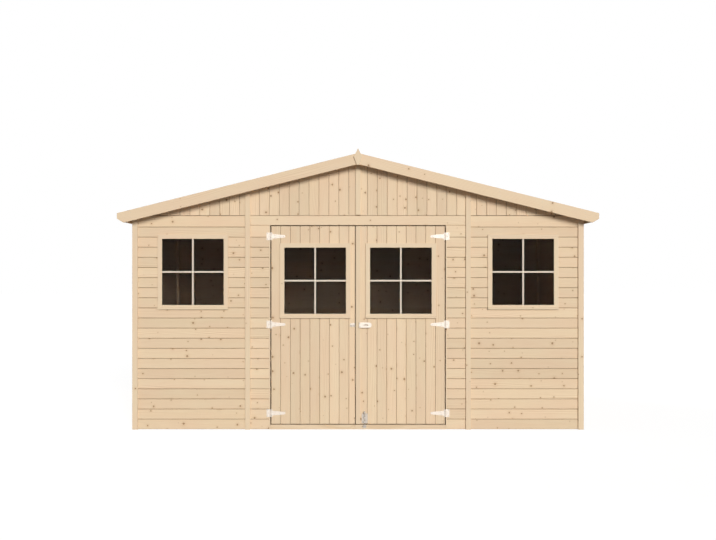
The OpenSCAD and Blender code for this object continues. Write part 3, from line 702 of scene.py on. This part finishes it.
def fixings(name, spots, body, seed, head, material=None):
    """Heads of nails, or of cross-head screws in a material. spots is a list of (point, direction),
    and head is (radius, height)."""
    mesh = bpy.data.meshes.new(name + "_points")
    mesh.from_pydata([tuple(p) for p, _ in spots], [], [])
    facing = mesh.attributes.new("facing", "FLOAT_VECTOR", "POINT")
    facing.data.foreach_set("vector", [c for _, d in spots for c in d])
    steel = clouded("Nail Steel", 700, (0.42, 0.40, 0.37), (0.60, 0.58, 0.55), 0.8, 0.45)
    # near black: painted shade of the screws' cross recesses
    recess = clouded("Screw Recess", 400, (0.05, 0.05, 0.05), (0.12, 0.115, 0.11), 0.0, 0.7)
    piece = grown(name, mesh, fixing_tree("Fixing Heads"), {
        "Head Radius": head[0], "Head Height": head[1], "Recess": 1.0 if material else 0.0, "Seed": seed,
        "Material": material or steel, "Recess Material": recess})
    settle(piece, body, "zinc")


def spaced(start, end, inset, most=math.inf):
    """Even steps between two ends, from as far inside one as the other, no further apart than most."""
    start, end = start + inset, end - inset
    steps = max(1, math.ceil((end - start) / most))
    return [start + (end - start) * i / steps for i in range(steps + 1)]


# ---- pieces ----

GLASS_NODES = ("wall_window_glass", "left_door_glass", "right_door_glass")
LEAVES = (("left_door", -1), ("right_door", 1))
FRAME_FACE = 0.040      # width of a window frame, from the glass that shows to its outer edge
FRAME_THICK = 0.012     # the frame stands this far in front of the boards
FRAME_HOLE = 0.0205     # the boards end this far outside the glass that shows
GLASS_EDGE = 0.0077     # this much of the glass is hidden in its rebate
LINER = (0.008, 0.020)  # a liner lies this far outside the glass that shows
SILL_HIGH = 0.020
SILL_OUT = 0.018
BAR_GAP = 0.0003        # glazing bars keep this clear of the glass and the frame
BAR_SUNK = 0.002        # glazing bars lie this far behind the frame's face
METAL_THICK = 0.0025
SCREW_HEAD = (0.0042, 0.0014)      # radius and height
NAIL_HEAD = (0.0016, 0.0005)
EDGE_NAIL_HEAD = (0.002, 0.0006)
CLOUT_HEAD = (0.0045, 0.001)
NAIL_IN = 0.022         # nails stand this far from the edges of a ledge or the header
FLOOR_JOINT = (0.0012, 0.0012)     # groove and gap
DECK_JOINT = (0.002, 0.0012)
BRACE_HIGH = 0.2        # of a leaf's timbers, the ledges are lower than this and the brace is higher
FELT_SHEET = 1.0        # width of a felt sheet, down the slope
FELT_LAP = 0.08         # a sheet covers this much of the one below it
FELT_CAP = 0.30         # the ridge sheet reaches this far down each slope
FELT_THICK = 0.0016
FELT_PEAK = 0.003       # the ridge sheet's two halves meet at this height over the boards
FELT_DROP = 0.0028      # thickness of the felt's turned-down edge


def panes():
    """Each window as (body, middle, half width, half height, front) of the glass that shows."""
    return [(BODY_OF[node], (low + high) / 2, (high.x - low.x) / 2 - GLASS_EDGE,
             (high.z - low.z) / 2 - GLASS_EDGE, low.y)
            for node in GLASS_NODES for low, high in solid_boxes(node)]


def window_holes(body):
    """The openings for a body's window frames, each as (left, right, foot, head)."""
    holes = []
    for owner, middle, half_w, half_h, _ in panes():
        w, h = half_w + FRAME_HOLE, half_h + FRAME_HOLE
        if owner == body:
            holes.append((middle.x - w, middle.x + w, middle.z - h, middle.z + h))
    return holes


def slope_lie(pitch, sign):
    """The way out of a roof slope, and the way down it."""
    return (Vector((sign * math.sin(pitch), 0, math.cos(pitch))),
            Vector((sign * math.cos(pitch), 0, -math.sin(pitch))))


class SHED_OT_walls(bpy.types.Operator):
    """Clads the four walls and the two gables with grooved boards"""
    bl_idname = "shed.walls"
    bl_label = "Walls"

    def execute(self, context):
        s = context.scene.shed_boards
        slope = math.tan(s.roof_pitch)
        holes = window_holes("root")
        # the side walls' top boards rise towards the inside with the roof
        for seed, node, out, rise in ((11, "front_wall_left", -Y, 0), (12, "front_wall_right", -Y, 0),
                                      (13, "front_strips", -Y, 0), (20, "left_wall", -X, slope),
                                      (21, "right_wall", X, slope), (30, "back_wall", Y, 0)):
            stack = BoardStack(seed, PAINTED_SHADE_DEPTH)
            for low, high in solid_boxes(node):
                corner, along, length, thick = panel_lie(low, high, out)
                lines = joint_lines(low.z, high.z - thick * rise, s.wall_first, s.wall_pitch)
                hole = next((h[2:] + (h[0] - low.x, h[1] - low.x) for h in holes
                             if out.y < 0 and low.x < h[0] < high.x), None)
                boards(stack, corner, along, out, lines, 0, lambda z: length, thick, s.groove, s.slot,
                       hole, thick * rise)
            self.finish(stack, node)
        for seed, (node, out) in enumerate((("front_gable", -Y), ("back_gable", Y)), 40):
            low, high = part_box(node)
            corner = Vector((0, low.y if out.y < 0 else high.y, 0))
            stack = BoardStack(seed, PAINTED_SHADE_DEPTH)
            for sign in (-1, 1):
                half = joint_lines(HALF_SEAM, high.x, s.gable_first, s.gable_pitch)
                boards(stack, corner, Z, out, sorted(sign * w for w in half), low.z + s.slot,
                       lambda w: high.z - slope * (abs(w) - HALF_SEAM), high.y - low.y,
                       s.fine_groove, s.slot * FINE_SLOT)
            self.finish(stack, node)
        return {"FINISHED"}

    def finish(self, stack, node):
        name = node.replace("strips", "strip") + "_boards"
        stack.finish(name, wood("Cladding Wood"), "root", "cladding", node)


class SHED_OT_timbers(bpy.types.Operator):
    """Finishes the battens, trims, framing, roof edges and ledges"""
    bl_idname = "shed.timbers"
    bl_label = "Timbers"

    def execute(self, context):
        trim, framing = ("Trim Wood", "trim"), ("Framing Wood", "frame_wood")
        edge = ("Roof Edge Wood", "roof_trim")
        for seed, (name, node, (finish, slot), shape) in enumerate((
                ("corner_trim_timbers", "corner_trims", trim, {}),
                ("front_batten_timbers", "front_battens", trim, {}),
                ("other_batten_timbers", "side_and_back_battens", trim, {}),
                ("header_board", "front_header", ("Header Wood", "trim"), {"ease": 0.0035}),
                ("door_lining", "door_jambs", trim, {}),
                ("sill_boards", "door_sill", ("Sill Wood", "sill_wood"), {}),
                ("barge_boards", "bargeboards", edge, {"ease": 0.002}),
                ("eave_timbers", "eave_boards", edge, {}),
                ("finial_boards", "finials", ("Finial Wood", "roof_trim"), {"lie": Z}),
                ("front_framing", "front_frame", framing, {}),
                ("back_framing", "back_frame", framing, {}),
                ("side_framing", "side_frames", framing, {}),
                ("purlin_timbers", "roof_purlins", framing, {"ease": 0.002}),
                ("bearer_timbers", "floor_bearers", framing, {"ease": 0.002}),
                ("left_door_timbers", "left_door_ledges", framing, {}),
                ("right_door_timbers", "right_door_ledges", framing, {}),
                ("cover_strip_timber", "door_cover_strip", trim, {})), 101):
            timber_copy(name, node, wood(finish), slot, seed, **shape)
        return {"FINISHED"}


class SHED_OT_floor(bpy.types.Operator):
    """Lays the floor boards"""
    bl_idname = "shed.floor"
    bl_label = "Floor"

    def execute(self, context):
        low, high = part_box("floor_boards")
        count = round((high.y - low.y) / context.scene.shed_boards.floor_pitch)
        pitch = (high.y - low.y) / count
        section = clad_section(0, pitch, high.z - low.z, *FLOOR_JOINT)
        board_row("floor_boarding", "floor_boards", section, (low.x, low.y, high.z), X, Z,
                  high.x - low.x, count, pitch, 51)
        return {"FINISHED"}


class SHED_OT_roof(bpy.types.Operator):
    """Lays the roof boards and covers them with felt"""
    bl_idname = "shed.roof"
    bl_label = "Roof"

    def execute(self, context):
        s = context.scene.shed_boards
        pitch = s.roof_pitch
        for seed, (node, sign) in enumerate((("roof_deck_left", -1), ("roof_deck_right", 1)), 60):
            low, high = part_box(node)
            out, down = slope_lie(pitch, sign)
            count = round((high.y - low.y) / s.deck_pitch)
            width = (high.y - low.y) / count
            thick = (high.z - low.z - (high.x - low.x) * math.tan(pitch)) * math.cos(pitch)
            length = (high.x - low.x) / math.cos(pitch) - thick * math.tan(pitch)
            start = Vector((0, low.y if sign > 0 else high.y, high.z))
            section = [(w, -thick - n) for w, n in reversed(clad_section(0, width, thick, *DECK_JOINT))]
            board_row(node + "_boards", node, section, start, down, out, length, count, width, seed)
        self.felt(pitch)
        return {"FINISHED"}

    def felt(self, pitch):
        """Two lapped sheets on each slope, a sheet over the ridge and turned-down edges."""
        low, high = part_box("roof_felt")
        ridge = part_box("roof_deck_right")[1].z
        stack = BoardStack(70)
        length = high.y - low.y
        for sign in (-1, 1):
            out = slope_lie(pitch, sign)[0]
            along = Y * sign
            corner = Vector((0, low.y if sign > 0 else high.y, ridge))
            foot = high.x / math.cos(pitch)
            # each sheet's section goes (up the slope, out of it), from its foot to its top
            sections = []
            for lift in (0.0, FELT_THICK):
                top = foot - FELT_SHEET
                sections.append([(-foot, lift + 0.0001), (-top, 0.0001), (-top, 0.0014),
                                 (-foot, lift + FELT_THICK)])
                foot = top + FELT_LAP
            rise = FELT_PEAK * math.tan(pitch)
            sections.append([(-FELT_CAP, 0.0020), (rise, 0.0016), (rise, 0.0032), (-FELT_CAP, 0.0036)])
            for section in sections:
                stack.add(corner, along, out, section, (0, 0), (length, length))
            head = ridge - high.x * math.tan(pitch) + 0.0012
            section = [(low.z, -FELT_DROP), (head, -FELT_DROP), (head, 0), (low.z, 0)]
            corner = Vector((sign * high.x, corner.y, 0))
            stack.add(corner, along, X * sign, section, (0, 0), (length, length))
        stack.finish("felt_sheets", felt_finish("Mineral Felt"), "root", "felt", "roof_felt")


class SHED_OT_doors(bpy.types.Operator):
    """Boards the two door leaves"""
    bl_idname = "shed.doors"
    bl_label = "Doors"

    def execute(self, context):
        s = context.scene.shed_boards
        for seed, (body, sign) in enumerate(LEAVES, 80):
            node = body + "_boards"
            low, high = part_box(node)
            left, right, foot, head = window_holes(body)[0]
            near, far = sorted((sign * low.x, sign * high.x))
            lines = sorted(-sign * x for x in joint_lines(near, far, s.leaf_first, s.leaf_pitch))
            stack = BoardStack(seed, PAINTED_SHADE_DEPTH)
            boards(stack, Vector((0, low.y, 0)), Z, -Y, lines, low.z, lambda w: high.z, high.y - low.y,
                   s.fine_groove, s.slot * FINE_SLOT, (-right, -left, foot, head))
            stack.finish(body + "_cladding", wood("Cladding Wood"), body, "cladding", node)
        return {"FINISHED"}


class SHED_OT_windows(bpy.types.Operator):
    """Builds the mitred window frames and the glazing bars, and glazes the windows"""
    bl_idname = "shed.windows"
    bl_label = "Windows"

    FRAMES = {"root": "wall_window_frames", "left_door": "left_door_window_frame",
              "right_door": "right_door_window_frame"}

    def execute(self, context):
        frames = {body: BoardStack(90 + i) for i, body in enumerate(self.FRAMES)}
        bars = {body: BoardStack(95 + i) for i, body in enumerate(self.FRAMES)}
        for body, middle, half_w, half_h, face in panes():
            centre = Vector((middle.x, face, middle.z))
            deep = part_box(self.FRAMES[body])[1].y - face
            self.frame(frames[body], centre, half_w, half_h, deep)
            self.bars(bars[body], centre, half_w - BAR_GAP, half_h - BAR_GAP,
                      context.scene.shed_boards.bar / 2)
        for body, node in self.FRAMES.items():
            frames[body].finish(node + "_timbers", wood("Window Wood"), body, "window_wood", node)
            name = node.removesuffix("s").replace("frame", "bars")
            bars[body].finish(name, wood("Glazing Bar Wood"), body, "window_wood")
        dress(GLASS_NODES, glazing("Clear Glazing"))
        return {"FINISHED"}

    def frame(self, stack, centre, half_w, half_h, deep):
        """Four mitred rails with their liners, and a sill with a sloped top and eased edges."""
        for turn, along in enumerate((X, Z, -X, -Z)):
            half, across = (half_h, half_w) if turn % 2 else (half_w, half_h)
            corner = centre - (-Y).cross(along) * across
            timber = stack.fresh()
            outer = -FRAME_FACE if turn else -FRAME_FACE + SILL_HIGH / 2
            for w0, w1, n0, n1, ease in ((outer, 0, 0, FRAME_THICK, 0.0018),
                                         (-LINER[1], -LINER[0], -deep, 0, 0.0008)):
                stack.add(corner, along, -Y, eased_section(w0, w1, n0, n1, ease), (w0 - half, w1 - half),
                          (half - w0, half - w1), timber)
        half, drop, slope, ease = half_w + FRAME_FACE, half_h + FRAME_FACE, 0.0026, 0.0013
        section = [(0, 0), (SILL_HIGH, 0), (SILL_HIGH, FRAME_THICK), (SILL_HIGH - slope, SILL_OUT - ease),
                   (SILL_HIGH - slope - ease, SILL_OUT), (ease, SILL_OUT), (0, SILL_OUT - ease)]
        stack.add(centre - Z * drop, X, -Y, section, (-half, -half), (half, half))

    def bars(self, stack, centre, w, h, b):
        """A level bar, and an upright one in two halves, each b to either side of its middle."""
        section = eased_section(-b, b, BAR_GAP, FRAME_THICK - BAR_SUNK)
        stack.add(centre, X, -Y, section, (-w, -w), (w, w))
        timber = stack.fresh()
        for low, high in ((-h, -b - 0.0002), (b + 0.0002, h)):
            stack.add(centre, Z, -Y, section, (low, low), (high, high), timber)


def dress(nodes, material):
    """CAD nodes keep their shapes and take a new finish."""
    for node in nodes:
        slots = NODES[node].material_slots
        if not slots:
            raise RuntimeError(f"{node} has no material slot")
        for slot in slots:
            slot.material = material


class SHED_OT_ironmongery(bpy.types.Operator):
    """Finishes the hinges, the hasp and the bolt, and puts in their screws"""
    bl_idname = "shed.ironmongery"
    bl_label = "Ironmongery"

    METAL = ("hinge_plates", "left_door_hinge_straps", "right_door_hinge_straps",
             "hasp_staple", "hasp_leaf", "hasp_flap")
    BOLT = ("bolt_keeper", "bolt_housing", "bolt_rod")
    # each screw as (distance outwards from a plate's outer edge or a strap's tip, height over its middle)
    PLATE_SCREWS = ((-0.008, 0.024), (-0.008, -0.024), (-0.019, 0))
    STRAP_SCREWS = ((0.014, 0), (0.052, 0), (0.092, 0.009), (0.092, -0.009))

    def execute(self, context):
        bright = zinc("Bright Zinc", 1.0)
        dress(self.METAL, bright)
        # the bolt's zinc is a darker copy of the bright zinc: painted shade
        dress(self.BOLT, zinc("Dull Zinc", 0.74))
        spots = {"root": self.hinge_screws("hinge_plates", max, self.PLATE_SCREWS)}
        for body, _ in LEAVES:
            spots[body] = self.hinge_screws(body + "_hinge_straps", min, self.STRAP_SCREWS)
        low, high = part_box("bolt_housing")
        spots["right_door"] += [(x, z) for x in spaced(low.x, high.x, 0.007)
                                for z in spaced(low.z, high.z, 0.008)]
        low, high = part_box("bolt_keeper")
        spots["root"] += [(x, low.z + 0.007) for x in spaced(low.x, high.x, 0.006)]
        low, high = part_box("hasp_leaf")
        spots["right_door"] += [(high.x - 0.008, z) for z in spaced(low.z, high.z, 0.008)]
        low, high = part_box("hasp_staple")
        spots["left_door"] += [(low.x + 0.006, z) for z in spaced(low.z, high.z, 0.006)]
        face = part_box("front_wall_left")[0].y - METAL_THICK
        for seed, (body, places) in enumerate(spots.items(), 120):
            points = [(Vector((x, face, z)), -Y) for x, z in places]
            fixings(body + "_screws", points, body, seed, SCREW_HEAD, bright)
        return {"FINISHED"}

    def hinge_screws(self, node, end, offsets):
        """The (x, z) places of the screws, from the outer (max) or inner (min) end of each hinge part."""
        return [(math.copysign(end(abs(low.x), abs(high.x)) + dx, low.x), (low.z + high.z) / 2 + dz)
                for low, high in solid_boxes(node) for dx, dz in offsets]


class SHED_OT_nails(bpy.types.Operator):
    """Drives the nails of the cladding, battens, doors and roof"""
    bl_idname = "shed.nails"
    bl_label = "Nails"

    def execute(self, context):
        s = context.scene.shed_boards
        spots = []
        for node in ("front_battens", "side_and_back_battens", "corner_trims"):
            for low, high in solid_boxes(node):
                spots += self.batten_nails(low, high)
        for low, high in solid_boxes("front_header"):
            spots += [(Vector((x, low.y, z)), -Y) for x in spaced(low.x, high.x, 0.03, 0.32)
                      for z in spaced(low.z, high.z, NAIL_IN)]
        rows = joint_lines(0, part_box("front_wall_left")[1].z, s.wall_first, s.wall_pitch)
        middles = [(a + b) / 2 for a, b in zip(rows, rows[1:])]
        for node in ("front_wall_left", "front_wall_right", "front_strips", "back_wall"):
            out = Y if node == "back_wall" else -Y
            for low, high in solid_boxes(node):
                spots += [(Vector((x, low.y if out.y < 0 else high.y, z)), out)
                          for x in (low.x + 0.036, high.x - 0.050) for z in middles if low.z < z < high.z]
        for node, out in (("left_wall", -X), ("right_wall", X)):
            low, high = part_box(node)
            spots += [(Vector((low.x if out.x < 0 else high.x, y, z)), out)
                      for y in spaced(low.y, high.y, 0.06, 0.49) for z in middles]
        fixings("wall_nails", spots, "root", 130, NAIL_HEAD)
        for seed, (body, sign) in enumerate(LEAVES, 131):
            low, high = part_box(body + "_boards")
            middles = [sign * (s.leaf_first + s.leaf_pitch * (k + 0.5)) for k in range(20)]
            ledges = [(a, b) for a, b in solid_boxes(body + "_ledges") if b.z - a.z < BRACE_HIGH]
            points = [(Vector((x, low.y, z)), -Y) for a, b in ledges for x in middles
                      if low.x + 0.02 < x < high.x - 0.02 for z in spaced(a.z, b.z, NAIL_IN)]
            fixings(body + "_nails", points, body, seed, NAIL_HEAD)
        self.roof_nails(s.roof_pitch)
        return {"FINISHED"}

    def batten_nails(self, low, high):
        """Nails up the middle of a batten's outer face."""
        out = X if high.x - low.x < high.y - low.y else Y
        out = out * math.copysign(1, (low + high).dot(out))
        level = high if out.x > 0 or out.y > 0 else low
        middle = (low + high) / 2
        x, y = level.x if out.x else middle.x, level.y if out.y else middle.y
        return [(Vector((x, y, z)), out) for z in spaced(low.z, high.z, 0.05, 0.3)]

    def roof_nails(self, pitch):
        low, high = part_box("bargeboards")
        spots = [(Vector((sign * x, y, high.z - x * math.tan(pitch) - drop)), out)
                 for out, y in ((-Y, low.y), (Y, high.y)) for sign in (-1, 1)
                 for x in spaced(0, high.x, 0.12, 0.4) for drop in (0.024, 0.068)]
        fixings("roof_edge_nails", spots, "root", 140, EDGE_NAIL_HEAD)
        low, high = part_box("roof_felt")
        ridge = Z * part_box("roof_deck_right")[1].z
        end = high.x / math.cos(pitch)
        # rows of clouts as (down the slope, out of it): at the eave, on the lap and on the ridge sheet
        rows = ((end - 0.03, 0.0016), (end - FELT_SHEET + FELT_LAP - 0.03, 0.0031),
                (FELT_CAP - 0.025, 0.0034))
        clouts = []
        for sign in (-1, 1):
            out, down = slope_lie(pitch, sign)
            clouts += [(ridge + Y * y + down * reach + out * lift, out) for reach, lift in rows
                       for y in spaced(low.y, high.y, 0.03, 0.09)]
        fixings("felt_clouts", clouts, "root", 141, CLOUT_HEAD)


class SHED_OT_stage(bpy.types.Operator):
    """Sets the floor, the light and the camera"""
    bl_idname = "shed.stage"
    bl_label = "Stage"

    def execute(self, context):
        scene = context.scene
        s = scene.shed_stage
        scene.view_settings.view_transform = "Standard"
        self.floor(reach=60)
        self.world(scene, s.sky)
        for name, strength, tilt, turn in (("Key", s.key, 73, 13), ("Fill", s.fill, 78, 228)):
            light = bpy.data.lights.new(name, "SUN")
            light.energy, light.angle = strength, math.radians(20)
            placed(name, light).rotation_euler = (math.radians(tilt), 0, math.radians(turn))
        camera = bpy.data.cameras.new("Camera")
        camera.lens, camera.sensor_width, camera.sensor_fit = s.lens, 36.0, "HORIZONTAL"
        camera.shift_y, camera.clip_end = s.rise, 200
        scene.camera = placed("Camera", camera)
        scene.camera.location = (0, -s.camera_distance, s.camera_height)
        scene.camera.rotation_euler = (math.radians(90), 0, 0)
        return {"FINISHED"}

    def in_view(self, g):
        """1 where the backdrop is seen, straight or in metal or glass, and 0 where it lights the shed."""
        rays = g.add("ShaderNodeLightPath").outputs
        mirrored = g.math("MAXIMUM", rays["Is Glossy Ray"], rays["Is Transmission Ray"])
        mirrored = g.times(mirrored, g.math("LESS_THAN", rays["Diffuse Depth"], 0.5))
        return g.math("MAXIMUM", rays["Is Camera Ray"], mirrored)

    def floor(self, reach):
        mesh = bpy.data.meshes.new("stage_floor")
        corners = [(x * reach, y * reach, 0) for x, y in ((-1, -1), (1, -1), (1, 1), (-1, 1))]
        mesh.from_pydata(corners, [], [(0, 1, 2, 3)])
        material, g = new_material("Stage Floor")
        g.surface(Base_Color=(0.36, 0.36, 0.36, 1), Roughness=1.0, Specular_IOR_Level=0.0,
                  Emission_Color=(1, 1, 1, 1), Emission_Strength=g.times(self.in_view(g), 0.83))
        mesh.materials.append(material)
        placed("stage_floor", mesh)

    def world(self, scene, sky):
        scene.world = bpy.data.worlds.new("Studio")
        scene.world.use_nodes = True
        g = Graph(scene.world.node_tree)
        lit = g.add("ShaderNodeBackground", Color=(1, 0.995, 0.985, 1), Strength=sky)
        shown = g.add("ShaderNodeBackground", Color=(1, 1, 1, 1), Strength=1.0)
        blend = g.add("ShaderNodeMixShader", Fac=self.in_view(g))
        g.feed(blend.inputs[1], lit.outputs[0])
        g.feed(blend.inputs[2], shown.outputs[0])
        g.add("ShaderNodeOutputWorld", Surface=blend.outputs[0])


class SHED_PT_panel(bpy.types.Panel):
    """Lists the steps of the shed's finish"""
    bl_idname = "SHED_PT_panel"
    bl_label = "Garden Shed"
    bl_space_type = "VIEW_3D"
    bl_region_type = "UI"
    bl_category = "Shed"

    def draw(self, context):
        for settings in ("shed_boards", "shed_colours", "shed_stage"):
            group = getattr(context.scene, settings)
            box = self.layout.box()
            for name in group.bl_rna.properties.keys():
                if name not in ("rna_type", "name"):
                    box.prop(group, name)
        for step in STEPS:
            self.layout.operator(step.bl_idname)


SETTINGS = {"shed_boards": ShedBoardSettings, "shed_colours": ShedColourSettings,
            "shed_stage": ShedStageSettings}
STEPS = (SHED_OT_walls, SHED_OT_timbers, SHED_OT_floor, SHED_OT_roof, SHED_OT_doors, SHED_OT_windows,
         SHED_OT_ironmongery, SHED_OT_nails, SHED_OT_stage)


def register():
    for item in tuple(SETTINGS.values()) + STEPS + (SHED_PT_panel,):
        bpy.utils.register_class(item)
    for name, kind in SETTINGS.items():
        setattr(bpy.types.Scene, name, bpy.props.PointerProperty(type=kind))


def unregister():
    for name in SETTINGS:
        delattr(bpy.types.Scene, name)
    for item in reversed(tuple(SETTINGS.values()) + STEPS + (SHED_PT_panel,)):
        bpy.utils.unregister_class(item)


def main():
    register()
    for step in STEPS:
        group, name = step.bl_idname.split(".")
        if getattr(getattr(bpy.ops, group), name)() != {"FINISHED"}:
            raise RuntimeError(f"{step.bl_label} did not finish")


if __name__ == "__main__":
    main()
